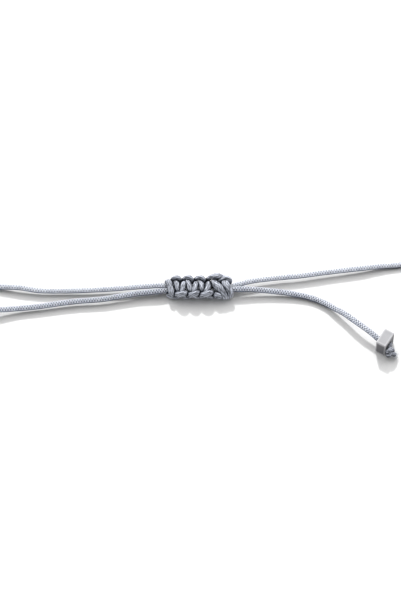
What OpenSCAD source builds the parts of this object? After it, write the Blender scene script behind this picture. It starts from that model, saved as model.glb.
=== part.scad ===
// Macrame bracelet: a loop of braided cord closed by a sliding sinnet of square knots.
// Both ends of the loop's cord pass through the knot and come out as short tails with square beads.
// Millimetres, +Z up, the bracelet lies on the plane z = 0 and the knot is on the -Y side.

/* [Cord] */
// Thickness of the braided cord
cord_d = 1; // [0.8:0.02:1]
// Thickness of the cord where the knot squeezes it
squeezed_d = 0.7; // [0.6:0.02:0.7]
// Thickness of the knotting cord, pulled tight
strand_d = 0.62; // [0.5:0.02:0.62]

/* [Sliding knot] */
// Length that each half knot takes up
half_knot = 1.1; // [1.05:0.01:1.15]
// Height of the knot's middle above the table
knot_z = 1.2; // [1.18:0.01:1.3]
// Distance of each core cord from the knot's middle line
core_offset = 0.42; // [0.4:0.01:0.44]

/* [Beads] */
// Side of the square bead, across its bore
bead_side = 3.15; // [3:0.05:3.2]
// Length of the bead along its bore
bead_length = 1.85; // [1.7:0.05:1.9]
// Bore of the bead
bead_bore = 1.14; // [1.1:0.02:1.3]
// Width of the bevel on the bead's edges
bead_bevel = 0.12; // [0.05:0.01:0.2]

/* [End knots] */
// Width of the overhand knot that stops a bead
end_knot_w = 2.1; // [1.9:0.05:2.1]

/* [Hidden] */

cord_colour = [0.62, 0.65, 0.72];
silver = [0.83, 0.83, 0.86];
sides = 8;
gap = 0.05;
long_span = 4;
knot_y = -35.05;
knot_at = [0, knot_y, knot_z];
first_half_knot = -5.2;

// The core cords swap sides by a half turn round each other inside the knot's right end.
turn_from = 3;
turn_rate = 60;
turn_rise = 0.38;

// Where the squeezed core cords grow to their full thickness again, from the knot's middle
squeeze_from = 5.2;
squeeze_to = 6.4;

left_bead_at = [-37.4, -39.75, 1.62];
left_bead_turn = [0, 0, 187];
right_bead_at = [31.23, -45.81, 1.62];
right_bead_turn = [0, 0, -31];
left_end_knot_at = [-39.2, -40, 1.2];
right_end_knot_at = [32.05, -47.6, 1.45];

// The band, left of the knot: the stretch in front, then the corner of the loop
band_left = [[-6.6, -34.5, 1.16], [-8.3, -34.55, 1.1], [-10, -34.65, 1.05], [-13.4, -34.95, 1],
    [-16.8, -35.2, 0.95], [-20.2, -35.35, 0.9], [-23.6, -35.4, 0.87], [-27, -35.35, 0.9],
    [-30.4, -34.85, 1], [-32.2, -34.65, 0.87], [-33.9, -34.5, 0.73], [-36.4, -34.05, 0.56],
    [-39, -32.65, 0.5], [-41.2, -30.25, 0.5], [-42.7, -26.85, 0.5], [-43.4, -22.55, 0.5]];
// The band behind, from left to right
band_back = [[-43.9, -15.55, 0.5], [-44.2, -7.55, 0.5], [-44.4, 1.45, 0.5], [-44.2, 10.45, 0.5],
    [-43, 18.45, 0.5], [-39.9, 25.45, 0.5], [-34.6, 30.85, 0.5], [-27.4, 34.15, 0.5],
    [-18.5, 35.95, 0.5], [-9, 36.65, 0.5], [0, 36.85, 0.5], [9, 36.65, 0.5], [18.5, 35.95, 0.5],
    [27.4, 34.15, 0.5], [34.6, 30.85, 0.5], [39.9, 25.45, 0.5], [43, 18.45, 0.5],
    [44.2, 10.45, 0.5], [44.4, 1.45, 0.5], [44.2, -7.55, 0.5], [43.9, -15.55, 0.5]];
// The band, right of the knot, on its way back to it
band_right = [[42.9, -21.75, 0.5], [41.2, -25.85, 0.5], [38.4, -28.65, 0.5], [34.6, -30, 0.5],
    [33.2, -30.2, 0.53], [30.9, -30.45, 0.7], [27.5, -31, 0.93], [24, -31.5, 1],
    [20.6, -32, 1.05], [17.2, -32.55, 1.08], [13, -33, 1.1], [8.7, -33.65, 1.1],
    [6.4, -34.33, 1]];

left_tail = [[-6.6, -35.65, 1.2], [-8.3, -35.85, 1.15], [-10, -36, 1.1], [-13.4, -36.6, 1.05],
    [-16.8, -37.2, 1], [-20.2, -37.45, 0.95], [-23.6, -37.9, 0.92], [-27, -38.45, 0.88],
    [-30.3, -38.85, 0.9], [-33.2, -39.23, 1.15], [-35, -39.45, 1.44]];
right_tail = [[6.4, -35.39, 1.38], [8.7, -35.31, 1.25], [12.1, -35.5, 1], [15.5, -35.85, 0.78],
    [18.9, -36.57, 0.6], [21.4, -37.75, 0.66], [23, -38.95, 1.03], [24.7, -40.3, 1.45],
    [26.3, -41.8, 1.76], [27.9, -43.2, 1.88], [29.1, -44.2, 1.76]];

// Points of one half knot's front strand: along the knot, out to the side, up
front_bend = [[-0.67, 0.55, 0.74], [-0.77, 1.1, 0.68], [-0.77, 1.5, 0.46], [-0.5, 1.85, 0.05],
    [-0.05, 1.95, -0.4], [0.5, 1.93, -0.58], [0.94, 1.66, -0.38], [0.98, 1.3, -0.05],
    [0.8, 1, 0.42], [0.66, 0.6, 0.68]];
// Points of one half knot's back strand: up through the bend, over it, and down again
back_bump = [[0.45, 0.55, -0.74], [0.36, 0.95, -0.55], [0.34, 1.27, -0.2], [0.42, 1.6, 0.15],
    [0.8, 1.84, 0.62], [1.3, 1.93, 0.95], [1.75, 1.83, 0.97], [2.05, 1.55, 0.78],
    [2.08, 1.25, 0.42], [1.92, 1.14, 0.05], [1.82, 1.05, -0.35], [1.74, 0.65, -0.7]];
over_z = 0.76;
under_z = -0.76;
half_knots = 7;

// Both strands start as one cord under the cores at the left end, on opposite sides.
front_start = [[-5.4, 0, -0.76], [-5.45, -0.7, -0.74], [-5.4, -1.25, -0.62], [-5.15, -1.7, -0.48],
    [-4.7, -1.95, -0.45]];
back_start = [[-5.55, 0.7, -0.72], [-5.7, 1.25, -0.4], [-5.72, 1.45, 0.1], [-5.6, 1.2, 0.55],
    [-5.4, 0.75, 0.78], [-5.2, 0.1, 0.82], [-5, -0.55, 0.8], [-4.8, -1.1, 0.65],
    [-4.6, -1.45, 0.3], [-4.45, -1.35, -0.1], [-4.45, -1.05, -0.45], [-4.5, -0.6, -0.72]];
// The looser turns that finish the right end: a slanting turn, an end turn and a loop over it
front_end = [[2.45, -1.95, -0.4], [2.6, -1.7, -0.72], [2.65, -1.2, -0.84], [2.68, -0.6, -0.83],
    [2.72, 0, -0.82], [2.78, 0.6, -0.8], [2.92, 1.2, -0.7], [3.06, 1.68, -0.38], [3.03, 1.75, 0.12],
    [2.85, 1.5, 0.65], [2.78, 1.05, 0.95], [3, 0.45, 1.05], [3.4, -0.2, 1.06], [3.9, -0.85, 1],
    [4.35, -1.4, 0.75], [4.7, -1.85, 0.25], [5, -1.98, -0.25], [5.4, -1.85, -0.35],
    [5.62, -1.6, 0.1], [5.58, -1.2, 0.62], [5.3, -0.6, 0.95], [5.02, 0.05, 1.05],
    [4.8, 0.65, 0.98], [4.65, 1.15, 0.6], [4.65, 1.3, 0.1], [4.95, 1.4, -0.3], [5.35, 1.5, -0.1],
    [5.5, 1.6, 0.3], [5.25, 1.7, 0.7], [4.7, 1.72, 0.9], [4.1, 1.65, 0.82], [3.75, 1.45, 0.5],
    [3.68, 1.2, 0.1]];
// The large loose loop behind, then a small bump in front
back_end = [[1.85, 0.55, -0.74], [1.76, 0.95, -0.55], [1.74, 1.27, -0.2], [1.8, 1.62, 0.2],
    [2.05, 1.9, 0.7], [2.45, 2.1, 1.15], [3, 2.2, 1.38], [3.6, 2.25, 1.25], [4.05, 2.3, 0.85],
    [4.25, 2.25, 0.3], [4.15, 1.95, -0.3], [3.95, 1.4, -0.7], [3.65, 0.7, -0.85],
    [3.48, 0, -0.88], [3.35, -0.6, -0.85], [3.27, -1.05, -0.55], [3.22, -1.35, -0.15],
    [3.25, -1.62, 0.2], [3.55, -1.78, 0.4], [3.9, -1.75, 0.25], [4.1, -1.5, -0.1],
    [4.15, -1.15, -0.5], [4.15, -0.75, -0.75]];

function unit(v) = v / norm(v);
function reversed(list) = [for (i = [len(list) - 1:-1:0]) list[i]];

// The route with one more point in the middle of each long span, on a Catmull-Rom curve
function smoothed(route) = let (last = len(route) - 1) [
    for (i = [0:last]) each i == last || norm(route[i + 1] - route[i]) < long_span ? [route[i]] : let (
        a = route[max(i - 1, 0)],
        b = route[i],
        c = route[i + 1],
        d = route[min(i + 2, last)]
    ) [b, (9 * (b + c) - a - d) / 16]
];

function tangent(path, i) = unit(path[min(i + 1, len(path) - 1)] - path[max(i - 1, 0)]);

// One ring of a tube, square to the path, whose first point is nearest to the given direction
function ring(centre, along, outward, radius) = let (
    across = unit(cross(along, outward)),
    out = cross(across, along)
) [for (k = [0:sides - 1]) centre + radius * (cos(360 * k / sides) * out + sin(360 * k / sides) * across)];

module tube(rings) {
    last = len(rings) - 1;
    polyhedron(
        points = [for (r = rings) each r],
        faces = concat(
            [[for (k = [0:sides - 1]) k]],
            [for (i = [0:last - 1], k = [0:sides - 1]) each let (
                a = i * sides + k,
                b = i * sides + (k + 1) % sides
            ) [[b, a, a + sides], [b, a + sides, b + sides]]],
            [[for (k = [sides - 1:-1:0]) last * sides + k]]
        ),
        convexity = 10
    );
}

// Radius of the plain cord: squeezed inside the knot, full thickness outside it
function girth(p) = lookup(norm([p.x, p.y - knot_y]),
    [[squeeze_from, squeezed_d / 2], [squeeze_to, cord_d / 2]]);

module lying_cord(route) {
    path = smoothed(route);
    tube([for (i = [0:len(path) - 1]) ring(path[i], tangent(path, i), [0, 0, -1], girth(path[i]))]);
}

// Place of a core cord inside the knot; side is 1 for the one that starts behind, -1 in front
function core(x, side) = let (turn = min(180, max(0, (x - turn_from) * turn_rate)))
    knot_at + [x, side * core_offset * cos(turn), side * turn_rise * sin(turn)];

function half_cores(side, from, to) = [for (x = [from, (from + to) / 2, to]) core(x, side)];
function turning_core(side) = [for (x = [0.05, 1.6, 3, 3.6, 4.2, 4.8, 5.4]) core(x, side)];

// Direction of a bead's bore
function bore_axis(turn) = [cos(turn.y) * cos(turn.z), cos(turn.y) * sin(turn.z), -sin(turn.y)];
function through_bead(at, turn) =
    [for (d = [-bead_length / 2 - 0.3, 0, bead_length / 2]) at + d * bore_axis(turn)];

module band_cord() {
    color(cord_colour) lying_cord(concat(
        half_cores(1, -0.05, -5.2), band_left, band_back, band_right, reversed(turning_core(-1))));
}

module left_tail_cord() {
    color(cord_colour) lying_cord(concat(
        half_cores(-1, -0.05, -5.2), left_tail, through_bead(left_bead_at, left_bead_turn)));
}

module right_tail_cord() {
    color(cord_colour) lying_cord(concat(
        turning_core(1), right_tail, through_bead(right_bead_at, right_bead_turn)));
}

// Half knot k bends round the cores at this place, behind for even k and in front for odd k
function bend_x(k) = first_half_knot + k * half_knot;
function bend_side(k) = k % 2 == 0 ? 1 : -1;
function placed(points, k) =
    [for (p = points) [bend_x(k) + p.x, bend_side(k) * p.y, p.z]];
function crossing(k, height) = [[bend_x(k) + half_knot / 2, 0, height]];

function front_strand() = concat(
    front_start,
    placed([for (i = [4:9]) front_bend[i]], 1),
    [for (k = [2:half_knots - 1]) each concat(crossing(k - 1, over_z), placed(front_bend, k))],
    crossing(half_knots - 1, over_z),
    placed([for (i = [0:3]) front_bend[i]], half_knots),
    front_end
);
function back_strand() = concat(
    back_start,
    [for (k = [0:half_knots - 2]) each concat(crossing(k, under_z), placed(back_bump, k))],
    crossing(half_knots - 1, under_z),
    back_end
);

module sliding_knot() {
    path = concat(reversed(back_strand()), front_strand());
    color(cord_colour) translate(knot_at)
        tube([for (i = [0:len(path) - 1])
            ring(path[i], tangent(path, i), [0, path[i].y, path[i].z], strand_d / 2)]);
}

module square_bead(at, turn) {
    color(silver) translate(at) rotate([0, turn.y, turn.z]) difference() {
        rotate([turn.x, 0, 0]) intersection() {
            cube([bead_length, bead_side, bead_side], center = true);
            edge_flats();
        }
        rotate([0, 90, 0]) cylinder(d = bead_bore, h = 2 * bead_length, center = true, $fn = 64);
    }
}

// Square bars turned by 45 degrees, whose sides bevel the twelve edges
module edge_flats() {
    across = (bead_side - bead_bevel) * sqrt(2);
    along = (bead_side / 2 + bead_length / 2 - bead_bevel) * sqrt(2);
    full = 2 * bead_side;
    intersection() {
        rotate([45, 0, 0]) cube([full, across, across], center = true);
        rotate([0, 45, 0]) cube([along, full, along], center = true);
        rotate([0, 0, 45]) cube([along, along, full], center = true);
    }
}

module left_bead() { square_bead(left_bead_at, left_bead_turn); }
module right_bead() { square_bead(right_bead_at, right_bead_turn); }

// Overhand knot: the cord follows a trefoil, pulled so tight that its turns press together
module overhand_knot(at, bead_at, turn) {
    r = end_knot_w * 0.165;
    ring_r = end_knot_w * 0.225;
    weave = end_knot_w * 0.11;
    steps = 27;
    axis = bore_axis(turn);
    start = bead_at + (bead_length / 2 + gap) * axis;
    function trefoil(t) = [(ring_r + weave * cos(3 * t)) * cos(2 * t),
        (ring_r + weave * cos(3 * t)) * sin(2 * t), 1.2 * weave * sin(3 * t)];
    color(cord_colour) union() {
        translate(at) rotate([0, turn.y + 90, turn.z]) rotate(turn.x)
            for (i = [0:steps - 1]) hull() {
                translate(trefoil(360 * i / steps)) sphere(r, $fn = 8);
                translate(trefoil(360 * (i + 1) / steps)) sphere(r, $fn = 8);
            }
        hull() {
            translate(start + r * axis) sphere(r, $fn = 8);
            translate(at + 0.3 * r * axis) sphere(r, $fn = 8);
        }
    }
}

module left_end_knot() { overhand_knot(left_end_knot_at, left_bead_at, left_bead_turn); }
module right_end_knot() { overhand_knot(right_end_knot_at, right_bead_at, right_bead_turn); }

band_cord();
sliding_knot();
left_tail_cord();
right_tail_cord();
left_bead();
right_bead();
left_end_knot();
right_end_knot();
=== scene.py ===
"""Looks of the macrame bracelet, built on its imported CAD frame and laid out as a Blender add-on."""

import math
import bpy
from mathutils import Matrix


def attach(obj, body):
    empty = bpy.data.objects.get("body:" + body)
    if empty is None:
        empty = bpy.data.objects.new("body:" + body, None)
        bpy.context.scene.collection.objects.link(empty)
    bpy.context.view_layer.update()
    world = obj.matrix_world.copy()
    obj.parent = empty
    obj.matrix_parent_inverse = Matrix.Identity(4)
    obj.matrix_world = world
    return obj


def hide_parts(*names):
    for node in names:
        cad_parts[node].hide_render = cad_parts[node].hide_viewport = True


bl_info = {
    "name": "Macrame Bracelet",
    "version": (1, 0, 0),
    "blender": (4, 5, 0),
    "location": "View3D > Sidebar > Bracelet",
    "description": "Braided cord bracelet with a sliding square-knot closure and square beads",
    "category": "Add Mesh",
}

import bpy
import numpy as np
from bpy.props import FloatProperty, FloatVectorProperty, IntProperty, PointerProperty
from bpy.types import Operator, Panel, PropertyGroup
from mathutils import Euler, Vector

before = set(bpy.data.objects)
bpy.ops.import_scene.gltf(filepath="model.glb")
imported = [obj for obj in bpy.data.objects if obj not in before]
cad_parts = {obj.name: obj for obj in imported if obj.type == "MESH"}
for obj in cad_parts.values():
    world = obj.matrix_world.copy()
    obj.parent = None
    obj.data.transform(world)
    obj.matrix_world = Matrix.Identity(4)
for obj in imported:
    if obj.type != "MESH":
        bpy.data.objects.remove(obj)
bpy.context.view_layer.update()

MM = 0.001
BODY = "root"

# The knot's middle and its two core cords, as in the CAD source
KNOT_AT = np.array([0, -35.05, 1.2]) * MM
CORE_OFFSET = 0.42 * MM
TURN_RISE = 0.38 * MM
TURN_FROM = 3 * MM
TURN_TO = 6 * MM

# Its half knots, and the routes of the cords, in millimetres, with the points of the CAD source
HALF_KNOT = 1.1
FIRST_HALF_KNOT = -5.2
HALF_KNOTS = 7
OVER_Z = 0.76
UNDER_Z = -0.76

BAND_LEFT = [
    (-6.6, -34.5, 1.16), (-8.3, -34.55, 1.1), (-10, -34.65, 1.05), (-13.4, -34.95, 1),
    (-16.8, -35.2, 0.95), (-20.2, -35.35, 0.9), (-23.6, -35.4, 0.87), (-27, -35.35, 0.9),
    (-30.4, -34.85, 1), (-32.2, -34.65, 0.87), (-33.9, -34.5, 0.73), (-36.4, -34.05, 0.56),
    (-39, -32.65, 0.5), (-41.2, -30.25, 0.5), (-42.7, -26.85, 0.5), (-43.4, -22.55, 0.5),
]
BAND_BACK = [
    (-43.9, -15.55, 0.5), (-44.2, -7.55, 0.5), (-44.4, 1.45, 0.5), (-44.2, 10.45, 0.5),
    (-43, 18.45, 0.5), (-39.9, 25.45, 0.5), (-34.6, 30.85, 0.5), (-27.4, 34.15, 0.5),
    (-18.5, 35.95, 0.5), (-9, 36.65, 0.5), (0, 36.85, 0.5),
]
BAND_BACK += [(-x, y, z) for x, y, z in BAND_BACK[-2::-1]]
BAND_RIGHT = [
    (42.9, -21.75, 0.5), (41.2, -25.85, 0.5), (38.4, -28.65, 0.5), (34.6, -30, 0.5),
    (33.2, -30.2, 0.53), (30.9, -30.45, 0.7), (27.5, -31, 0.93), (24, -31.5, 1),
    (20.6, -32, 1.05), (17.2, -32.55, 1.08), (13, -33, 1.1), (8.7, -33.65, 1.1), (6.4, -34.33, 1),
]
LEFT_TAIL = [
    (-6.6, -35.65, 1.2), (-8.3, -35.85, 1.15), (-10, -36, 1.1), (-13.4, -36.6, 1.05),
    (-16.8, -37.2, 1), (-20.2, -37.45, 0.95), (-23.6, -37.9, 0.92), (-27, -38.45, 0.88),
    (-30.3, -38.85, 0.9), (-33.2, -39.23, 1.15), (-35, -39.45, 1.44),
]
RIGHT_TAIL = [
    (6.4, -35.39, 1.38), (8.7, -35.31, 1.25), (12.1, -35.5, 1), (15.5, -35.85, 0.78),
    (18.9, -36.57, 0.6), (21.4, -37.75, 0.66), (23, -38.95, 1.03), (24.7, -40.3, 1.45),
    (26.3, -41.8, 1.76), (27.9, -43.2, 1.88), (29.1, -44.2, 1.76),
]

# Places and turns of the beads, as in the CAD source: millimetres and degrees
BEADS = {
    "left": {"at": (-37.4, -39.75, 1.62), "turn": (0, 0, 187)},
    "right": {"at": (31.23, -45.81, 1.62), "turn": (0, 0, -31)},
}
# Tips of the cord's ends, from the middle of their end knots: across, across, along the bore
TIP_OFFSET = {"left": (-0.3, 0.35, 0.95), "right": (-0.5, 0.2, 0.8)}
END_KNOT_AT = {"left": (-39.2, -40, 1.2), "right": (32.05, -47.6, 1.45)}

# One half knot's front strand round the cores: along the knot, out to the side, up
FRONT_BEND = [
    (-0.67, 0.55, 0.74), (-0.77, 1.1, 0.68), (-0.77, 1.5, 0.46), (-0.5, 1.85, 0.05),
    (-0.05, 1.95, -0.4), (0.5, 1.93, -0.58), (0.94, 1.66, -0.38), (0.98, 1.3, -0.05),
    (0.8, 1, 0.42), (0.66, 0.6, 0.68),
]
# One half knot's back strand: up through the bend, over it, and down again
BACK_BUMP = [
    (0.45, 0.55, -0.74), (0.36, 0.95, -0.55), (0.34, 1.27, -0.2), (0.42, 1.6, 0.15),
    (0.8, 1.84, 0.62), (1.3, 1.93, 0.95), (1.75, 1.83, 0.97), (2.05, 1.55, 0.78),
    (2.08, 1.25, 0.42), (1.92, 1.14, 0.05), (1.82, 1.05, -0.35), (1.74, 0.65, -0.7),
]
FRONT_START = [
    (-5.4, 0, -0.76), (-5.45, -0.7, -0.74), (-5.4, -1.25, -0.62), (-5.15, -1.7, -0.48),
    (-4.7, -1.95, -0.45),
]
BACK_START = [
    (-5.55, 0.7, -0.72), (-5.7, 1.25, -0.4), (-5.72, 1.45, 0.1), (-5.6, 1.2, 0.55),
    (-5.4, 0.75, 0.78), (-5.2, 0.1, 0.82), (-5, -0.55, 0.8), (-4.8, -1.1, 0.65),
    (-4.6, -1.45, 0.3), (-4.45, -1.35, -0.1), (-4.45, -1.05, -0.45), (-4.5, -0.6, -0.72),
]
# The looser turns at the right end: a slanting turn, an end turn and a loop over it
FRONT_END = [
    (2.45, -1.95, -0.4), (2.6, -1.7, -0.72), (2.65, -1.2, -0.84), (2.68, -0.6, -0.83),
    (2.72, 0, -0.82), (2.78, 0.6, -0.8), (2.92, 1.2, -0.7), (3.06, 1.68, -0.38),
    (3.03, 1.75, 0.12), (2.85, 1.5, 0.65), (2.78, 1.05, 0.95), (3, 0.45, 1.05),
    (3.4, -0.2, 1.06), (3.9, -0.85, 1), (4.35, -1.4, 0.75), (4.7, -1.85, 0.25),
    (5, -1.98, -0.25), (5.4, -1.85, -0.35), (5.62, -1.6, 0.1), (5.58, -1.2, 0.62),
    (5.3, -0.6, 0.95), (5.02, 0.05, 1.05), (4.8, 0.65, 0.98), (4.65, 1.15, 0.6),
    (4.65, 1.3, 0.1), (4.95, 1.4, -0.3), (5.35, 1.5, -0.1), (5.5, 1.6, 0.3),
    (5.25, 1.7, 0.7), (4.7, 1.72, 0.9), (4.1, 1.65, 0.82), (3.75, 1.45, 0.5), (3.68, 1.2, 0.1),
]
# The large loose loop behind, then a small bump in front
BACK_END = [
    (1.85, 0.55, -0.74), (1.76, 0.95, -0.55), (1.74, 1.27, -0.2), (1.8, 1.62, 0.2),
    (2.05, 1.9, 0.7), (2.45, 2.1, 1.15), (3, 2.2, 1.38), (3.6, 2.25, 1.25), (4.05, 2.3, 0.85),
    (4.25, 2.25, 0.3), (4.15, 1.95, -0.3), (3.95, 1.4, -0.7), (3.65, 0.7, -0.85),
    (3.48, 0, -0.88), (3.35, -0.6, -0.85), (3.27, -1.05, -0.55), (3.22, -1.35, -0.15),
    (3.25, -1.62, 0.2), (3.55, -1.78, 0.4), (3.9, -1.75, 0.25), (4.1, -1.5, -0.1),
    (4.15, -1.15, -0.5), (4.15, -0.75, -0.75),
]

# Places along the knot on the route above, and where pulling the knot tight brings them
PULLED_FROM = [-5.7, -4.6, -3.9, 1.55, 3, 4.25, 5.6]
PULLED_TO = [-5.3, -4.5, -4.05, 1.05, 2.75, 3.95, 5.15]
# Places along the core cords inside the knot, where they run straight and where they turn
STRAIGHT_CORE = [-0.05, -2.625, -5.2]
TURNING_CORE = [0.05, 1.6, 3, 3.6, 4.2, 4.8, 5.4]
# Turns that stand out behind by more than this, in millimetres, are drawn in beyond it
LOOP_FROM = 1.7
# Heights in millimetres between which a turn's width goes from tucked under to tightened
UNDER_TO_OVER = [-0.5, 0.3]
# Places along the knot between which its turns get looser and fuller
LOOSE_FROM = 2.2 * MM
LOOSE_TO = 3.4 * MM
# Distances from the knot's middle between which its squeezed core cords get their full thickness
SQUEEZE_FROM = 5.2 * MM
SQUEEZE_TO = 6.4 * MM
# Distance before a bead at which its cord is in line with the bore
BEFORE_BEAD = 0.3 * MM
# Kinks shorter than this are averaged out of the lying cords
KINK_REACH = 1.2 * MM

# Height of a yarn's round top and of its way over and under, which make 1 on a crown together
CROWN = 0.6
WEAVE = 0.4
# Height of the braid's skin that lies on the tube itself
MEAN_SKIN = 0.6
# Sides of the pressed strands
STRAND_SIDES = 48

# The photograph's height in pixels, and the sensor's long side in millimetres
PICTURE_HEIGHT = 601
SENSOR = 36
# Pixels from the knot to the picture's middle: to the right, and down
KNOT_TO_MIDDLE = (1.5, 12.5)


def size_field(name, description, millimetres):
    """A size in the sidebar, with its default in millimetres."""
    return FloatProperty(name=name, description=description, default=millimetres * MM,
                         unit="LENGTH", precision=6)


def share_field(name, description, default, low, high):
    """A share in the sidebar, with its default and limits."""
    return FloatProperty(name=name, description=description, default=default, subtype="FACTOR",
                         min=low, max=high)


def colour_field(name, description, default):
    """A colour in the sidebar, with its default in linear light."""
    return FloatVectorProperty(name=name, description=description, default=default,
                               subtype="COLOR", min=0, max=1)


def angle_field(name, description, degrees):
    """An angle in the sidebar, with its default in degrees."""
    return FloatProperty(name=name, description=description, default=math.radians(degrees),
                         subtype="ANGLE")


class CordSettings(PropertyGroup):
    """Sizes and colours of the braided cord."""

    diameter: size_field("Diameter", "Thickness of the cord", 1)
    lead: size_field("Braid lead", "Length in which a yarn goes once round the cord", 1.8)
    knot_lead: size_field("Lead in the knot", "The same where the knotting cord is pulled tight", 7)
    yarns: IntProperty(
        name="Yarns", description="Yarns that turn each way round the braid", default=4, min=4)
    relief: size_field("Relief", "Depth between the braid's yarns", 0.08)
    colour: colour_field("Cord colour", "Colour of the band", (0.52, 0.55, 0.63))
    # The tails are the same cord as the band; their darker colour is painted shade.
    tail_painted_shade_colour: colour_field(
        "Tail colour", "Colour of the tails, set a little darker than the band", (0.48, 0.51, 0.59))
    knot_colour: colour_field("Knot colour", "Colour of the knotting cord", (0.49, 0.52, 0.6))
    # The colour of the painted shade between yarns, in creases and towards undersides
    shade_colour: colour_field(
        "Gap colour", "Colour deep between the yarns and strands", (0.018, 0.024, 0.04))


class KnotSettings(PropertyGroup):
    """Sizes of the sliding knot's strands."""

    half_width: size_field(
        "Half width", "Half the width of a pulled strand, across the knot's skin", 0.52)
    half_height: size_field("Half height", "Half the thickness of a pulled strand", 0.4)
    loose_growth: share_field(
        "Loose growth", "How much fuller the loose turns at the right end are", 0.28, 0, 0.4)
    loop_reach: share_field(
        "Loop reach", "Share that the big loop and the far bumps keep of what stands out behind",
        0.4, 0, 1)
    tightened_wide: share_field(
        "Tightened, wide way", "Width of the pulled knot against its plain route", 0.87, 0.8, 1)
    tucked_under: share_field(
        "Tucked under", "Width of the turns that go under, against their plain route", 0.62, 0.5, 1)
    uneven: size_field(
        "Unevenness", "How far hand-pulled turns stray from their even places", 0.05)
    shift_wide: size_field(
        "Shift, wide way", "How far the pulled knot sits towards the front", -0.1)
    squeezed_core: size_field("Squeezed core", "Thickness of the core cords inside the knot", 0.7)


class BeadSettings(PropertyGroup):
    """Sizes and colour of the silver beads."""

    side: size_field("Side", "Side of the square, across the bore", 3.15)
    length: size_field("Length", "Length along the bore", 1.85)
    bore: size_field("Bore", "Diameter of the hole", 1.14)
    bevel: size_field("Bevel", "Width of the bevel along the edges", 0.12)
    # Painted shade on the bead's sides: the distance from its two flat faces at which it is full
    side_shade_depth: size_field(
        "Tarnish depth", "Distance from the rubbed faces at which tarnish is full", 0.5)
    colour: colour_field("Silver", "Colour of the silver", (0.35, 0.35, 0.365))


class StageSettings(PropertyGroup):
    """The floor, the lights and the camera."""

    lens: FloatProperty(
        name="Lens", description="Focal length in millimetres on a 36 mm sensor", default=180)
    elevation: angle_field("Elevation", "Height of the camera above the floor as an angle", 60)
    scale: size_field("Scale", "Length of one pixel at the knot", 0.17)
    sun_elevation: angle_field("Light elevation", "Height of the main light above the floor", 40.5)
    sun_azimuth: angle_field("Light direction", "Turn of the main light from straight behind", -8)
    sun_spread: angle_field(
        "Light spread", "Angle that the main light fills, which softens shadows", 4.5)
    sun_strength: FloatProperty(
        name="Light strength", description="Strength of the main light", default=2.3)
    sky_strength: FloatProperty(
        name="Fill strength", description="Strength of the white fill", default=2.0)


def unit(vectors):
    """The same directions with length one."""
    return vectors / np.linalg.norm(vectors, axis=-1, keepdims=True)


def smooth_path(points, per_span=24):
    """Many points on a smooth curve through the given ones. Between b and c, with the neighbours a and d,
    the curve is half of 2b + (c - a) t + (2a - 5b + 4c - d) t^2 + (3b - 3c + d - a) t^3."""
    p = np.asarray(points, float)
    a = np.vstack([2 * p[:1] - p[1:2], p[:-2]])[:, None]
    b = p[:-1][:, None]
    c = p[1:][:, None]
    d = np.vstack([p[2:], 2 * p[-1:] - p[-2:-1]])[:, None]
    t = np.linspace(0, 1, per_span, endpoint=False)[None, :, None]
    curve = 0.5 * (2 * b + (c - a) * t + (2 * a - 5 * b + 4 * c - d) * t**2
                   + (3 * b - 3 * c + d - a) * t**3)
    return np.vstack([curve.reshape(-1, 3), p[-1:]])


def lengths_along(path):
    """Distance of each point from the path's start, along the path."""
    steps = np.linalg.norm(np.diff(path, axis=0), axis=1)
    return np.concatenate([[0], np.cumsum(steps)])


def evenly(path, step):
    """The path with points at even distances, as near to the given step as its length allows."""
    along = lengths_along(path)
    count = int(round(along[-1] / step)) + 1
    at = np.linspace(0, along[-1], count)
    return np.stack([np.interp(at, along, path[:, i]) for i in range(3)], 1)


def eased(path, step, reach):
    """The path with kinks shorter than reach averaged out; its ends stay where they are."""
    half = max(1, int(reach / step / 2))
    before = 2 * path[:1] - path[half:0:-1]
    after = 2 * path[-1:] - path[-2:-2 - half:-1]
    long = np.vstack([before, path, after])
    window = np.hanning(2 * half + 3)[1:-1]
    window /= window.sum()
    return np.stack([np.convolve(long[:, i], window, "valid") for i in range(3)], 1)


def path_frames(path, outward):
    """Three unit vectors at each point: along the path, the part of outward that is square to it,
    and along x out."""
    along = unit(np.gradient(path, axis=0))
    square = outward - (outward * along).sum(-1, keepdims=True) * along
    out = unit(square)
    return along, out, np.cross(along, out)


def core_places(x, side):
    """Centre of a core cord in the knot: side is 1 for the one that starts behind, -1 in front. Both turn
    by half a turn round each other between TURN_FROM and TURN_TO, as (side cos, side sin) times their
    offset and rise."""
    turn = np.clip((x - TURN_FROM) / (TURN_TO - TURN_FROM), 0, 1) * math.pi
    y = side * CORE_OFFSET * np.cos(turn)
    z = side * TURN_RISE * np.sin(turn)
    return KNOT_AT + np.stack([x, y, z], -1)


def core_route(side, x_points):
    return core_places(np.array(x_points) * MM, side)


def bead_place(side):
    """Centre of a bead, and its turn as three unit columns, the first along the bore from the knot."""
    turn = [math.radians(a) for a in BEADS[side]["turn"]]
    return np.array(BEADS[side]["at"]) * MM, np.array(Euler(turn).to_matrix())


def through_bead(side):
    """Points of the cord before the bead, at its centre and at its far face."""
    centre, axes = bead_place(side)
    half = bpy.context.scene.bracelet_bead.length / 2
    distances = np.array([-half - BEFORE_BEAD, 0, half])
    return centre + distances[:, None] * axes[:, 0]


def band_route():
    """The loop: out of the knot's left end, round behind, and back into its right end."""
    middle = np.array(BAND_LEFT + BAND_BACK + BAND_RIGHT) * MM
    return np.vstack([core_route(1, STRAIGHT_CORE), middle, core_route(-1, TURNING_CORE[::-1])])


def tail_route(side):
    """A tail: from the middle of the knot, out of its end and through the bead."""
    if side == "left":
        start, middle = core_route(-1, STRAIGHT_CORE), LEFT_TAIL
    else:
        start, middle = core_route(1, TURNING_CORE), RIGHT_TAIL
    return np.vstack([start, np.array(middle) * MM, through_bead(side)])


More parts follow.
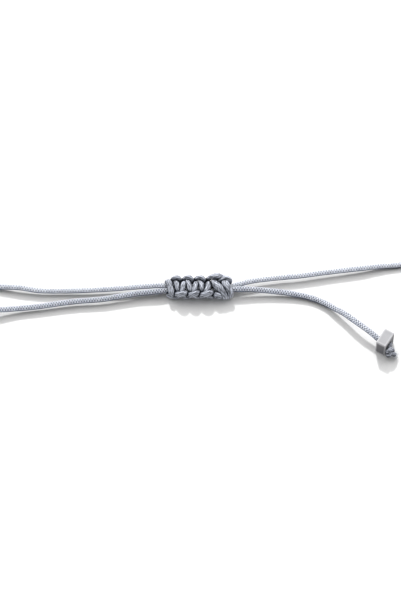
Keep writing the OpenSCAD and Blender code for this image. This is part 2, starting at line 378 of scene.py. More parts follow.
def knot_route():
    """The knotting cord, in millimetres round the knot's middle: the back strand reversed, from its end to
    the knot's left end, and then the front strand. Half knots alternate between behind and in front."""
    numbers = np.arange(HALF_KNOTS + 1)
    bends = FIRST_HALF_KNOT + HALF_KNOT * numbers
    sides = np.where(numbers % 2 == 0, 1, -1)

    def placed(points, k):
        return [(bends[k] + x, sides[k] * y, z) for x, y, z in points]

    def crossing(k, z):
        return [(bends[k] + HALF_KNOT / 2, 0, z)]

    front = FRONT_START + placed(FRONT_BEND[4:], 1)
    for k in range(2, HALF_KNOTS):
        front += crossing(k - 1, OVER_Z) + placed(FRONT_BEND, k)
    front += crossing(HALF_KNOTS - 1, OVER_Z) + placed(FRONT_BEND[:4], HALF_KNOTS) + FRONT_END
    back = list(BACK_START)
    for k in range(HALF_KNOTS - 1):
        back += crossing(k, UNDER_Z) + placed(BACK_BUMP, k)
    back += crossing(HALF_KNOTS - 1, UNDER_Z) + BACK_END
    return np.array(back[::-1] + front)


def braid_relief(turns_along, turns_round, yarns):
    """Height of a braid's skin, 1 on a yarn's crown and near 0 between yarns. Yarns of one family keep
    a = yarns (round - along) constant and those of the other keep b = yarns (round + along) constant.
    Across itself a yarn is the top of an ellipse, and along itself it goes over and under as a cosine,
    so the skin is the higher of the two yarns at each point."""
    a = yarns * (turns_round - turns_along)
    b = yarns * (turns_round + turns_along)
    across_a = a - np.floor(a) - 0.5
    across_b = b - np.floor(b) - 0.5
    a_over = 1 - 2 * ((np.floor(a) + np.floor(b)) % 2)
    crown_a = CROWN * np.sqrt(np.clip(1 - 4 * across_a**2, 0, 1))
    crown_b = CROWN * np.sqrt(np.clip(1 - 4 * across_b**2, 0, 1))
    height_a = crown_a + WEAVE * a_over * np.cos(math.pi * across_b)
    height_b = crown_b - WEAVE * a_over * np.cos(math.pi * across_a)
    return np.maximum(height_a, height_b)


def ring_angles(sides):
    return np.arange(sides) * 2 * math.pi / sides


def ring_directions(out, across, sides):
    """Unit vectors from each ring's centre to its corners: cos out + sin across."""
    angles = ring_angles(sides)[:, None]
    return np.cos(angles) * out[..., None, :] + np.sin(angles) * across[..., None, :]


class Neighbours:
    """The cord near each ring of a strand: other turns of the same strand, which start at own_gap along it,
    and other cords of a known radius."""

    def __init__(self, path, own_gap, others=(), others_radius=0.0, count=56):
        step = np.linalg.norm(path[1] - path[0])
        own = path[::2]
        points = np.vstack([own, *others])
        distance = np.linalg.norm(points[None] - path[:, None], axis=-1)
        apart = np.abs(np.arange(len(path))[:, None] - np.arange(0, len(path), 2)[None]) * step
        far_away = 1.0
        distance[:, :len(own)] = np.where(apart < own_gap, far_away, distance[:, :len(own)])
        nearest = np.argsort(distance, axis=1)[:, :count]
        self.points = points[nearest]
        self.distance = np.take_along_axis(distance, nearest, 1)
        self.own = nearest < len(own)
        self.others_radius = others_radius
        self.path, self.step = path, step

    def pressed_radius(self, away, natural, slack):
        """Radius in each direction of a soft strand that its neighbours squeeze. A neighbour puts a flat
        wall across the way to it, the slack before the middle of the way to another turn, or before the
        skin of another cord. The floor is one more wall, and the inner side of a bend with curvature c
        stays under 0.9 / c. The radius is the soft minimum of the natural one and the nearest wall,
        (natural^-6 + wall^-6)^(-1/6)."""
        bend = np.gradient(np.gradient(self.path, axis=0), axis=0) / self.step**2
        inverse = np.maximum((away * bend[:, None]).sum(-1) / 0.9, -away[:, :, 2] / self.path[:, 2:3])
        wall = np.where(self.own, self.distance / 2, self.distance - self.others_radius) - slack
        ways = (self.points - self.path[:, None]) / self.distance[:, :, None]
        towards = np.einsum("nkc,nac->nka", ways, away)
        inverse = np.maximum(inverse, (towards / np.maximum(wall, 0.05 * MM)[:, :, None]).max(1))
        inverse = np.maximum(inverse, 0)
        return (natural**-6.0 + inverse**6) ** (-1 / 6)

    def shade(self, away, radius, size):
        """Painted shade in creases: how closely other cord crowds each point of the skin, from 0 to 1: one
        minus exp of minus 2 step / size times the sum of (size / distance)^2 cos over the neighbours within
        3 sizes of the ring's middle. Here cos is the cosine from the skin's normal to the neighbour, and
        distance is at least 0.6 size."""
        skin = self.path[:, None] + away * radius[:, :, None]
        gaps = self.points[:, None] - skin[:, :, None]
        distance = np.linalg.norm(gaps, axis=-1)
        facing = np.maximum((gaps * away[:, :, None]).sum(-1) / distance, 0)
        near = (size / np.maximum(distance, 0.6 * size))**2 * facing
        near = np.where(self.distance[:, None] < 3 * size, near, 0)
        return 1 - np.exp(-near.sum(-1) * 2 * self.step / size)


def floor_shade(away):
    """Painted shade on a lying cord, darker towards its underside: 0 where its normal rises by 0.36 or
    more, 1 where it rises by less than -0.04, and even steps between, (0.36 - rise) / 0.4."""
    return np.clip((0.36 - away[:, :, 2]) / 0.4, 0, 1)


def blurred(values, times):
    """Values on rings and directions, averaged with their neighbours along the path and round it."""
    for _ in range(times):
        padded = np.vstack([values[:1], values, values[-1:]])
        values = 0.25 * padded[:-2] + 0.5 * values + 0.25 * padded[2:]
        values = 0.25 * np.roll(values, 1, 1) + 0.5 * values + 0.25 * np.roll(values, -1, 1)
    return values


def tube_faces(count, rings, sides):
    """Vertex numbers of the quads between the rings and of the fans at both ends of several equal tubes."""
    ring = np.arange(rings - 1)[:, None] * sides
    here = np.arange(sides)
    turned = (here + 1) % sides
    quads = np.stack([ring + here, ring + turned, ring + sides + turned, ring + sides + here], -1)
    last = (rings - 1) * sides
    poles = np.full(sides, rings * sides)
    first_fan = np.stack([poles, turned, here], -1)
    last_fan = np.stack([poles + 1, last + here, last + turned], -1)
    shift = np.arange(count)[:, None, None] * (rings * sides + 2)
    quads = quads.reshape(1, -1, 4) + shift
    fans = np.vstack([first_fan, last_fan])[None] + shift
    return quads.reshape(-1, 4), fans.reshape(-1, 3)


def tube_uv(turns_along, count, sides):
    """UV of the same faces: u is turns along the braid and v is turns round it, from 0 to 1."""
    def corners(u, side_steps):
        v = (np.arange(sides)[:, None] / sides) + np.array(side_steps) / sides
        return np.stack(np.broadcast_arrays(u, v), -1).reshape(-1, 2)

    rings = np.arange(len(turns_along) - 1)[:, None, None] + [0, 0, 1, 1]
    quads = corners(turns_along[rings], [0, 1, 1, 0])
    fans = np.vstack([corners(turns_along[0], [0, 1, 0]), corners(turns_along[-1], [0, 0, 1])])
    return np.tile(quads, (count, 1)), np.tile(fans, (count, 1))


def tube_points(path, away, radius):
    """Corners of a tube: centre + radius times each direction on each ring, then the two end poles,
    a third of a radius beyond the ends."""
    rings = path[:, None] + radius[:, :, None] * away
    ends = unit(np.stack([path[0] - path[1], path[-1] - path[-2]]))
    poles = path[[0, -1]] + ends * radius[[0, -1]].mean(1)[:, None] / 3
    return np.vstack([rings.reshape(-1, 3), poles])


def new_mesh(name, points, quads, triangles=None, quad_uv=None, triangle_uv=None):
    """A mesh with smooth faces from whole arrays, and its UV map where one is given."""
    triangles = np.empty((0, 3), int) if triangles is None else triangles
    corners = np.concatenate([quads.ravel(), triangles.ravel()]).astype(np.int32)
    sizes = np.concatenate([np.full(len(quads), 4), np.full(len(triangles), 3)])
    starts = np.concatenate([[0], np.cumsum(sizes)[:-1]]).astype(np.int32)
    mesh = bpy.data.meshes.new(name)
    mesh.vertices.add(len(points))
    mesh.vertices.foreach_set("co", np.asarray(points, np.float32).ravel())
    mesh.loops.add(len(corners))
    mesh.loops.foreach_set("vertex_index", corners)
    mesh.polygons.add(len(sizes))
    mesh.polygons.foreach_set("loop_start", starts)
    mesh.polygons.foreach_set("use_smooth", np.ones(len(sizes), bool))
    if quad_uv is not None:
        layer = mesh.uv_layers.new(name="Braid")
        uv = np.vstack([quad_uv, triangle_uv]).astype(np.float32)
        layer.data.foreach_set("uv", uv.ravel())
    mesh.update(calc_edges=True)
    if mesh.validate():
        raise RuntimeError(f"{name} had faces that Blender doesn't take")
    return mesh


def point_values(mesh, name, values):
    """Keeps one number for each vertex on the mesh, for its material."""
    attribute = mesh.attributes.new(name, "FLOAT", "POINT")
    attribute.data.foreach_set("value", np.asarray(values, np.float32).ravel())


def add_object(name, data):
    """An object in the scene that shows this data."""
    made = bpy.data.objects.new(name, data)
    bpy.context.scene.collection.objects.link(made)
    return made


def add_piece(mesh, slot, material, *nodes):
    """A finished piece: it rides on the part's body, hides the CAD nodes whose place it takes, and has its
    finish.
    """
    piece = add_object(mesh.name, mesh)
    mesh.materials.append(material)
    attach(piece, BODY)
    if nodes:
        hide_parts(*nodes)
    return piece


def braided_tube(name, path, away, radius, shade, relief, turns_along):
    """Mesh of a cord along a path of rings, with the braid's relief on its radius."""
    cord = bpy.context.scene.bracelet_cord
    sides = radius.shape[1]
    skin = braid_relief(turns_along[:, None], np.arange(sides)[None] / sides, cord.yarns)
    points = tube_points(path, away, radius + relief * (skin - MEAN_SKIN))
    quads, fans = tube_faces(1, len(path), sides)
    quad_uv, fan_uv = tube_uv(turns_along, 1, sides)
    mesh = new_mesh(name, points, quads, fans, quad_uv, fan_uv)
    # The shade attribute is painted shade, which the material darkens by
    point_values(mesh, "shade", np.concatenate([shade.ravel(), shade[[0, -1]].mean(1)]))
    return mesh


def pressed_strand(name, path, outward, near, natural, slack, shade_size, on_floor, relief, turns):
    """Mesh of a soft strand that its neighbours press: its radius and its painted shade are averaged twice
    with those beside them, and a strand on the floor gets more painted shade towards its underside."""
    _, out, across = path_frames(path, outward)
    away = ring_directions(out, across, STRAND_SIDES)
    radius = blurred(near.pressed_radius(away, natural, slack), 2)
    shade = near.shade(away, radius, shade_size)
    if on_floor:
        shade = np.maximum(shade, floor_shade(away))
    return braided_tube(name, path, away, radius, blurred(shade, 2), relief, turns)


def core_girth(path):
    """Radius of the soft cord: squeezed inside the knot, growing to its full one just outside."""
    full = bpy.context.scene.bracelet_cord.diameter / 2
    tight = bpy.context.scene.bracelet_knot.squeezed_core / 2
    distance = np.linalg.norm((path - KNOT_AT)[:, :2], axis=1)
    return np.interp(distance, [SQUEEZE_FROM, SQUEEZE_TO], [tight, full])


def lying_cord(name, route, rings_per_lead):
    """The plain cord along a route, with its seam at the bottom and the braid's own lead. Its girth
    wanders by up to 2 percent in two sine waves. Returns its mesh and its centreline."""
    cord = bpy.context.scene.bracelet_cord
    step = cord.lead / rings_per_lead
    path = eased(evenly(smooth_path(route), step), step, KINK_REACH)
    _, out, across = path_frames(path, np.array([0, 0, -1.0]))
    sides = 8 * cord.yarns
    turns = np.arange(len(path)) / rings_per_lead
    wander = 1 + 0.012 * np.sin(turns * 1.7) + 0.01 * np.sin(turns * 4.1 + 2)
    radius = np.repeat((core_girth(path) * wander - cord.relief * (1 - MEAN_SKIN))[:, None], sides, 1)
    away = ring_directions(out, across, sides)
    # The shade attribute here is painted shade towards the cord's underside
    return braided_tube(name, path, away, radius, floor_shade(away), cord.relief, turns), path


class TreeMaker:
    """Adds nodes to one shader tree and joins them."""

    def __init__(self, tree):
        self.tree = tree

    def add(self, kind, inputs=(), **settings):
        """A node of this kind with its settings; inputs are (socket, value or other socket) pairs."""
        node = self.tree.nodes.new(kind)
        for name, value in settings.items():
            setattr(node, name, value)
        self.fill(node, inputs)
        return node

    def fill(self, node, inputs):
        for key, value in inputs:
            if isinstance(value, bpy.types.NodeSocket):
                self.tree.links.new(value, node.inputs[key])
            else:
                node.inputs[key].default_value = value

    def math(self, operation, *values):
        pairs = list(enumerate(values))
        return self.add("ShaderNodeMath", pairs, operation=operation).outputs[0]

    def mix_colour(self, share, first, second, blend="MIX"):
        pairs = [(0, share), (6, first), (7, second)]
        return self.add("ShaderNodeMix", pairs, data_type="RGBA", blend_type=blend).outputs[2]

    def mix_value(self, share, first, second):
        pairs = [(0, share), (2, first), (3, second)]
        return self.add("ShaderNodeMix", pairs, data_type="FLOAT").outputs[0]

    def map_range(self, value, low, high, to_low=0.0, to_high=1.0):
        pairs = [(0, value), (1, low), (2, high), (3, to_low), (4, to_high)]
        return self.add("ShaderNodeMapRange", pairs, clamp=True).outputs[0]

    def noise(self, place, scale, detail, roughness=0.5):
        pairs = [("Vector", place), ("Scale", scale), ("Detail", detail), ("Roughness", roughness)]
        return self.add("ShaderNodeTexNoise", pairs).outputs["Fac"]

    def attribute(self, name):
        return self.add("ShaderNodeAttribute", attribute_name=name).outputs["Fac"]

    def bump(self, height, distance, strength):
        pairs = [("Height", height), ("Distance", distance), ("Strength", strength)]
        return self.add("ShaderNodeBump", pairs).outputs[0]


def new_material(name):
    """A new material, the maker for its nodes, and its shader."""
    material = bpy.data.materials.new(name)
    material.use_nodes = True
    tree = material.node_tree
    return material, TreeMaker(tree), tree.nodes["Principled BSDF"]


def yarn_group():
    """The braid's yarns, worked out from the UV map as braid_relief does: their height, the gaps between
    them, fine filaments along each yarn, and one random shade for each."""
    name = "Braid Yarns"
    if name in bpy.data.node_groups:
        return bpy.data.node_groups[name]
    group = bpy.data.node_groups.new(name, "ShaderNodeTree")
    group.interface.new_socket("UV", in_out="INPUT", socket_type="NodeSocketVector")
    sockets = {"INPUT": ("Yarns", "Filaments"), "OUTPUT": ("Height", "Gap", "Filament", "Shade")}
    for way, names in sockets.items():
        for socket in names:
            group.interface.new_socket(socket, in_out=way, socket_type="NodeSocketFloat")
    m = TreeMaker(group)
    given = m.add("NodeGroupInput").outputs
    uv = m.add("ShaderNodeSeparateXYZ", [(0, given["UV"])])
    along, round_ = uv.outputs[0], uv.outputs[1]
    yarns = given["Yarns"]
    a = m.math("MULTIPLY", yarns, m.math("SUBTRACT", round_, along))
    b = m.math("MULTIPLY", yarns, m.math("ADD", round_, along))
    number_a, number_b = m.math("FLOOR", a), m.math("FLOOR", b)
    across_a = m.math("SUBTRACT", m.math("FRACT", a), 0.5)
    across_b = m.math("SUBTRACT", m.math("FRACT", b), 0.5)
    odd = m.math("FLOORED_MODULO", m.math("ADD", number_a, number_b), 2.0)
    a_over = m.math("MULTIPLY_ADD", odd, -2.0, 1.0)

    def crown(across):
        square = m.math("MULTIPLY", across, across)
        inside = m.math("MAXIMUM", m.math("MULTIPLY_ADD", square, -4.0, 1.0), 0.0)
        return m.math("MULTIPLY", m.math("SQRT", inside), CROWN)

    def wave(across):
        return m.math("MULTIPLY", m.math("COSINE", m.math("MULTIPLY", across, math.pi)), WEAVE)

    height_a = m.math("MULTIPLY_ADD", a_over, wave(across_b), crown(across_a))
    height_b = m.math("SUBTRACT", crown(across_b), m.math("MULTIPLY", a_over, wave(across_a)))
    height = m.math("MAXIMUM", height_a, height_b)
    a_shows = m.math("GREATER_THAN", height_a, height_b)
    across = m.mix_value(a_shows, across_b, across_a)
    number = m.mix_value(a_shows, m.math("FLOORED_MODULO", number_b, yarns),
                         m.math("ADD", m.math("FLOORED_MODULO", number_a, yarns), 40.0))
    wobble = m.math("MULTIPLY", m.noise(given["UV"], 9.0, 2.0), 6.0)
    phase = m.math("MULTIPLY", m.math("MULTIPLY", across, given["Filaments"]), 2 * math.pi)
    phase = m.math("ADD", phase, wobble)
    fine = m.math("SINE", m.math("MULTIPLY", phase, 3.1))
    filament = m.math("MULTIPLY_ADD", m.math("SINE", phase), 0.7, m.math("MULTIPLY", fine, 0.3))
    shade = m.add("ShaderNodeTexWhiteNoise", [("W", number)], noise_dimensions="1D")
    m.add("NodeGroupOutput", [
        ("Height", height), ("Gap", m.map_range(height, 0.8, 0.35)),
        ("Filament", m.math("MULTIPLY_ADD", filament, 0.5, 0.5)), ("Shade", shade.outputs["Value"]),
    ])
    return group


# Finishes of the band, of the tails, and of the pulled knotting cord and end knots: the setting with
# their colour, and then filaments, streak, gap share, shade range, glow, depth and shine. Gap share and
# shade range set how dark the painted shade is. The tails are the band's cord with a darker colour and
# darker gaps as painted shade, and the end knots, tied in the tails' cord, take the knotting cord's
# finish, whose shade range paints stronger shade in their creases.
FINISHES = {
    "braided_nylon": ("colour", 3.0, 0.12, 1.0, (0.1, 0.6), 0.9, 4 * MM, 0.1),
    "tail_nylon_painted_shade": ("tail_painted_shade_colour", 3.0, 0.12, 1.7, (0.1, 0.6), 0.9, 4 * MM, 0.1),
    "pulled_nylon": ("knot_colour", 2.0, 0.85, 0.7, (0.07, 0.31), 0.1, 1 * MM, 0.7),
}


def cord_material(name, colour, filaments, streak, gap_share, shade_range, glow, depth, shine):
    """Braided nylon: the colour varies from yarn to yarn and patch to patch, and takes painted shade
    between yarns, where strands press on each other and towards a lying cord's underside. Filaments is how
    many lie side by side in a yarn, and streak how much they differ. Gap share is how dark the painted
    shade between yarns is, and shade range the shade at which the painted shade starts and is darkest. Glow
    and depth are the share and reach of light that goes through the cord, and shine is the strength of its
    mirror light."""
    material, m, shader = new_material(name)
    cord = bpy.context.scene.bracelet_cord
    uv = m.add("ShaderNodeUVMap", uv_map="Braid").outputs[0]
    inputs = [("UV", uv), ("Yarns", cord.yarns), ("Filaments", filaments)]
    yarns = m.add("ShaderNodeGroup", inputs, node_tree=yarn_group()).outputs
    place = m.add("ShaderNodeTexCoord").outputs["Object"]
    lightness = m.math("ADD", m.map_range(yarns["Shade"], 0, 1, 0.88, 1.1),
                       m.map_range(m.noise(place, 420.0, 3.0), 0.3, 0.7, -0.1, 0.1))
    streaks = m.map_range(yarns["Filament"], 0, 1, 1 - streak, 1 + 0.4 * streak)
    lightness = m.math("MULTIPLY", lightness, streaks)
    grey = m.add("ShaderNodeCombineXYZ", [(0, lightness), (1, lightness), (2, lightness)])
    base = m.mix_colour(1.0, (*colour, 1), grey.outputs[0], "MULTIPLY")
    # Painted shade: the gaps between yarns, and the shade attribute in creases and on undersides
    dark = m.math("MAXIMUM", m.math("MULTIPLY", yarns["Gap"], gap_share),
                  m.map_range(m.attribute("shade"), *shade_range, 0, 1))
    heights = m.math("MULTIPLY_ADD", yarns["Filament"], 0.12, yarns["Height"])
    m.fill(shader, [
        ("Base Color", m.mix_colour(dark, base, (*cord.shade_colour, 1))),
        ("Roughness", m.map_range(yarns["Height"], 0.3, 1, 0.75, 0.5)),
        ("Normal", m.bump(heights, 0.04 * MM, 0.6)),
        ("Subsurface Weight", glow), ("Subsurface Radius", (1, 1, 1)),
        ("Subsurface Scale", depth), ("Specular IOR Level", shine),
    ])
    return material


def finish_named(name):
    """The material of this name, made the first time that it is asked for."""
    if name in bpy.data.materials:
        return bpy.data.materials[name]
    if name == "satin_silver":
        return silver_material(name)
    colour, *finish = FINISHES[name]
    return cord_material(name, getattr(bpy.context.scene.bracelet_cord, colour), *finish)


def silver_material(name):
    """Satin silver: fine scratches, slightly cloudy polish, painted shade on the sides and bright worn
    edges.
    """
    material, m, shader = new_material(name)
    silver = tuple(bpy.context.scene.bracelet_bead.colour)
    place = m.add("ShaderNodeTexCoord").outputs["Object"]
    stretched = m.add("ShaderNodeMapping", [("Vector", place), ("Rotation", (0.4, 0.7, 0.3)),
                                            ("Scale", (1.0, 14.0, 9.0))])
    scratches = m.noise(stretched.outputs[0], 900.0, 4.0, 0.7)
    clouds = m.map_range(m.noise(place, 900.0, 2.0), 0.3, 0.7)
    worn = m.map_range(m.attribute("edge"), 0, 1)
    polished = m.mix_colour(clouds, (*(0.93 * c for c in silver), 1), (*silver, 1))
    # Painted shade on the bead's sides, from its attribute
    tarnish = m.math("MULTIPLY", m.attribute("tarnish"), 0.75)
    polished = m.mix_colour(tarnish, polished, (0.06, 0.06, 0.07, 1))
    rough = m.math("ADD", m.map_range(scratches, 0.35, 0.65, 0.52, 0.64),
                   m.math("MULTIPLY", worn, -0.12))
    m.fill(shader, [
        ("Base Color", m.mix_colour(worn, polished, (0.58, 0.58, 0.6, 1))), ("Roughness", rough),
        ("Normal", m.bump(scratches, 0.01 * MM, 0.35)), ("Metallic", 0.3),
    ])
    return material


def camera_place(stage):
    """Target and place of the camera: the target is KNOT_TO_MIDDLE pixels from the knot, and the distance
    makes one pixel the stated length."""
    look = np.array([0, math.cos(stage.elevation), -math.sin(stage.elevation)])
    up = np.array([0, math.sin(stage.elevation), math.cos(stage.elevation)])
    right = np.array([1.0, 0, 0])
    target = KNOT_AT + stage.scale * (KNOT_TO_MIDDLE[0] * right - KNOT_TO_MIDDLE[1] * up)
    distance = stage.lens * PICTURE_HEIGHT * stage.scale / SENSOR
    return target, target - distance * look


class BRACELET_OT_stage(Operator):
    """Make the floor, the lights and the camera"""

    bl_idname = "bracelet.stage"
    bl_label = "Stage"

    def execute(self, context):
        stage = context.scene.bracelet_stage
        target, place = camera_place(stage)
        camera = add_object("camera", bpy.data.cameras.new("camera"))
        camera.data.lens = stage.lens
        camera.data.sensor_width = SENSOR
        camera.data.clip_start = 0.02
        camera.data.clip_end = 10
        camera.location = place
        camera.rotation_euler = Vector(target - place).to_track_quat("-Z", "Y").to_euler()
        context.scene.camera = camera
        self.make_floor()
        self.make_lights(context, stage)
        context.scene.view_settings.view_transform = "Standard"
        return {"FINISHED"}

    def make_floor(self):
        half = 3.0
        corners = np.array([(-half, -half, 0), (half, -half, 0), (half, half, 0), (-half, half, 0)])
        mesh = new_mesh("floor", corners, np.array([[0, 1, 2, 3]]))
        paper, m, shader = new_material("white_paper")
        m.fill(shader, [("Base Color", (0.9, 0.9, 0.9, 1)), ("Roughness", 0.9),
                        ("Specular IOR Level", 0.1)])
        mesh.materials.append(paper)
        add_object("floor", mesh)

    def make_lights(self, context, stage):
        """One soft sun from behind, and a white room whose light depends on over, the angle from the
        horizon behind up and over to the one in front, as a share of half a turn. It rises from 0.3 to 1
        between 0.15 and 0.25, and falls from 1 to 0.12 between 0.3 and 0.62."""
        sun = bpy.data.lights.new("window", "SUN")
        sun.energy = stage.sun_strength
        sun.angle = stage.sun_spread
        window = add_object("window", sun)
        flat = math.cos(stage.sun_elevation)
        shine = Vector((-math.sin(stage.sun_azimuth) * flat, -math.cos(stage.sun_azimuth) * flat,
                        -math.sin(stage.sun_elevation)))
        window.rotation_euler = shine.to_track_quat("-Z", "Y").to_euler()
        world = bpy.data.worlds.new("white_room")
        world.use_nodes = True
        m = TreeMaker(world.node_tree)
        way = m.add("ShaderNodeSeparateXYZ", [(0, m.add("ShaderNodeTexCoord").outputs["Generated"])])
        over = m.math("DIVIDE", m.math("ARCTAN2", way.outputs[2], way.outputs[1]), math.pi)
        rising = m.map_range(over, 0.15, 0.25, 0.3, 1)
        falling = m.map_range(over, 0.3, 0.62, 1, 0.12)
        panel = m.math("MULTIPLY", rising, falling)
        m.fill(world.node_tree.nodes["Background"], [
            ("Color", m.mix_colour(panel, (0, 0, 0, 1), (1, 1, 1, 1))),
            ("Strength", stage.sky_strength),
        ])
        context.scene.world = world


class BRACELET_OT_tails(Operator):
    """Make the two tails of the loop's cord"""

    bl_idname = "bracelet.tails"
    bl_label = "Tails"

    def execute(self, context):
        for side in BEADS:
            mesh, path = lying_cord(f"{side}_tail_braid", tail_route(side), 32)
            # The tails' finish paints shade: a darker colour and darker gaps than the band's
            piece = add_piece(mesh, "cord", finish_named("tail_nylon_painted_shade"), f"{side}_tail_cord")
            piece["length"] = float(lengths_along(path)[-1])
        return {"FINISHED"}


class BRACELET_OT_band(Operator):
    """Make the loop that goes round the wrist"""

    bl_idname = "bracelet.band"
    bl_label = "Band"

    def execute(self, context):
        mesh, _ = lying_cord("band_braid", band_route(), 16)
        add_piece(mesh, "cord", finish_named("braided_nylon"), "band_cord")
        return {"FINISHED"}


class BRACELET_OT_sliding_knot(Operator):
    """Make the sliding knot from its one knotting cord"""

    bl_idname = "bracelet.sliding_knot"
    bl_label = "Sliding knot"

    def execute(self, context):
        """The route is drawn in along the knot and across it, wanders by three sine waves, and its strand
        is an oval, wide high / sqrt((wide cos)^2 + (high sin)^2), fuller in the loose turns."""
        cord = context.scene.bracelet_cord
        knot = context.scene.bracelet_knot
        step = 0.075 * MM
        slack = 0.008 * MM
        own_gap = 1.05 * MM
        route = knot_route()
        tight = np.interp(route[:, 2], UNDER_TO_OVER, [knot.tucked_under, knot.tightened_wide])
        pulled = np.interp(route[:, 0], PULLED_FROM, PULLED_TO)
        loop = np.minimum(route[:, 1], LOOP_FROM + knot.loop_reach * (route[:, 1] - LOOP_FROM))
        route = np.stack([pulled, loop * tight, route[:, 2]], 1)
        path = evenly(smooth_path(route * MM), step)
        waves = lengths_along(path)[:, None] / MM * (2.1, 1.7, 2.6) + (0, 2, 4)
        path = path + knot.uneven * np.sin(waves) + KNOT_AT + (0, knot.shift_wide, 0)
        from_knot = path - KNOT_AT
        fuller = 1 + knot.loose_growth * np.interp(from_knot[:, 0], [LOOSE_FROM, LOOSE_TO], [0, 1])
        angles = ring_angles(STRAND_SIDES)
        high, wide = knot.half_height, knot.half_width
        oval = high * wide / np.sqrt((wide * np.cos(angles))**2 + (high * np.sin(angles))**2)
        core_x = np.arange(-6.2, 6.2, 0.15) * MM
        cores = [core_places(core_x, 1), core_places(core_x, -1)]
        near = Neighbours(path, own_gap, cores, knot.squeezed_core / 2)
        turns = np.arange(len(path)) * step / cord.knot_lead
        mesh = pressed_strand(
            "knotting_cord_turns", path, from_knot * (0, 1, 1), near, fuller[:, None] * oval[None],
            slack, knot.half_height, False, 0.6 * cord.relief, turns)
        add_piece(mesh, "knotting_cord", finish_named("pulled_nylon"), "sliding_knot")
        return {"FINISHED"}


def square_outline(angles, half, corner_cut):
    """Distance from the middle to the outline of a square in each direction: the nearer one of its sides
    and its corner's flat, half / max(|cos|, |sin|) and (2 half - cut) / (|cos| + |sin|)."""
    c, s = np.abs(np.cos(angles)), np.abs(np.sin(angles))
    return np.minimum(half / np.maximum(c, s), (2 * half - corner_cut) / (c + s))


def between(stations, share):
    """The stations with one more near each end of every stretch, so that flats keep flat normals."""
    rows = [stations[0]]
    for a, b in zip(stations[:-1], stations[1:]):
        rows += [a + share * (b - a), b - share * (b - a), b]
    return rows


def bead_mesh(name, side):
    """A square block with bevelled edges round a round bore, as a closed ring of profiles. A profile runs
    from the bore's wall over its rim, the face, the bevel and the side, and back to the bore. Along the
    bore it has its own places, and across it the outline of a square in each direction. Its two flat
    faces keep the plain silver, and painted shade deepens over the sides between them, as (half - |z|) /
    depth. Edges are worn by 1.6 - d, from 0 to 1, where d is the distance in bevels to the second nearest
    of the three pairs of faces."""
    bead = bpy.context.scene.bracelet_bead
    half, reach, cut, bore = bead.side / 2, bead.length / 2, bead.bevel, bead.bore / 2
    rim = 0.05 * MM
    corner = math.atan2(half - cut, half)
    steps = np.linspace(-corner, corner, 17)
    steps = np.concatenate([steps, np.linspace(corner, math.pi / 2 - corner, 5)[1:-1]])
    angles = (steps[None] + np.arange(4)[:, None] * math.pi / 2).ravel()
    face = square_outline(angles, half - cut, 0)
    vertex = square_outline(angles, half - cut / 2, 0)
    full = square_outline(angles, half, cut)
    wall = np.full_like(angles, bore)
    end = [
        (reach - rim, wall), (reach, wall + rim), (reach, face), (reach - cut / 2, vertex),
        (reach - cut, full),
    ]
    places = [x for x, _ in end] + [-x for x, _ in end[::-1]]
    outlines = [r for _, r in end] + [r for _, r in end[::-1]]
    grid_x = np.repeat(np.array(places)[:, None], len(angles), 1)
    grid_r = np.array(outlines)
    grid_x = np.array(between(list(grid_x) + [grid_x[0]], 0.12)[:-1])
    grid_r = np.array(between(list(grid_r) + [grid_r[0]], 0.12)[:-1])
    local = np.stack([grid_x, grid_r * np.cos(angles), grid_r * np.sin(angles)], -1)
    nearness = np.sort(np.abs(local) - (reach, half, half), -1)[:, :, 1]
    worn = np.clip((nearness + 1.6 * cut) / cut, 0, 1)
    worn = np.where(np.abs(grid_r - bore) < 1.2 * rim, 0.0, worn)
    # Painted shade on the sides, full at this depth from the two flat faces
    tarnish = np.clip((half - np.abs(local[:, :, 2])) / bead.side_shade_depth, 0, 1)
    centre, axes = bead_place(side)
    points = local.reshape(-1, 3) @ axes.T + centre
    rows, columns = grid_x.shape
    i = np.arange(rows)[:, None] * columns
    i_next = np.roll(i, -1, 0)
    j = np.arange(columns)
    j_next = np.roll(j, -1)
    quads = np.stack([i + j, i_next + j, i_next + j_next, i + j_next], -1).reshape(-1, 4)
    mesh = new_mesh(name, points, quads)
    mesh.set_sharp_from_angle(angle=math.radians(25))
    point_values(mesh, "edge", worn)
    point_values(mesh, "tarnish", tarnish)
    return mesh


def end_knot_path(side, step):
    """The cord's end: out of the bead, round an open trefoil and out at its tip. The trefoil is
    ((R + a cos 3t) cos 2t, (R + a cos 3t) sin 2t, h sin 3t), cut open where it passes its middle, on
    three unit columns: up across the bore, level across it, and along it. Returns the path, the knot's
    middle and the columns."""
    ring, weave, rise = 0.42 * MM, 0.23 * MM, 0.28 * MM
    t = np.linspace(math.pi + 0.3, 3 * math.pi - 0.3, 25)
    out = ring + weave * np.cos(3 * t)
    turns = np.stack([out * np.cos(2 * t), out * np.sin(2 * t), rise * np.sin(3 * t)], 1)
    centre, bead_axes = bead_place(side)
    axis = bead_axes[:, 0]
    level = unit(np.cross([0, 0, 1.0], axis))
    axes = np.stack([np.cross(axis, level), level, axis], 1)
    middle = np.array(END_KNOT_AT[side]) * MM
    bead_end = centre + axis * bpy.context.scene.bracelet_bead.length / 2
    body = middle + turns @ axes.T
    start = [bead_end - 0.2 * MM * axis, bead_end + 0.1 * MM * axis]
    tip = middle + axes @ np.array(TIP_OFFSET[side]) * MM
    after = [0.5 * (body[-1] + tip) + axis * 0.12 * MM, tip]
    return evenly(smooth_path(np.vstack([start, body, after])), step), middle, axes


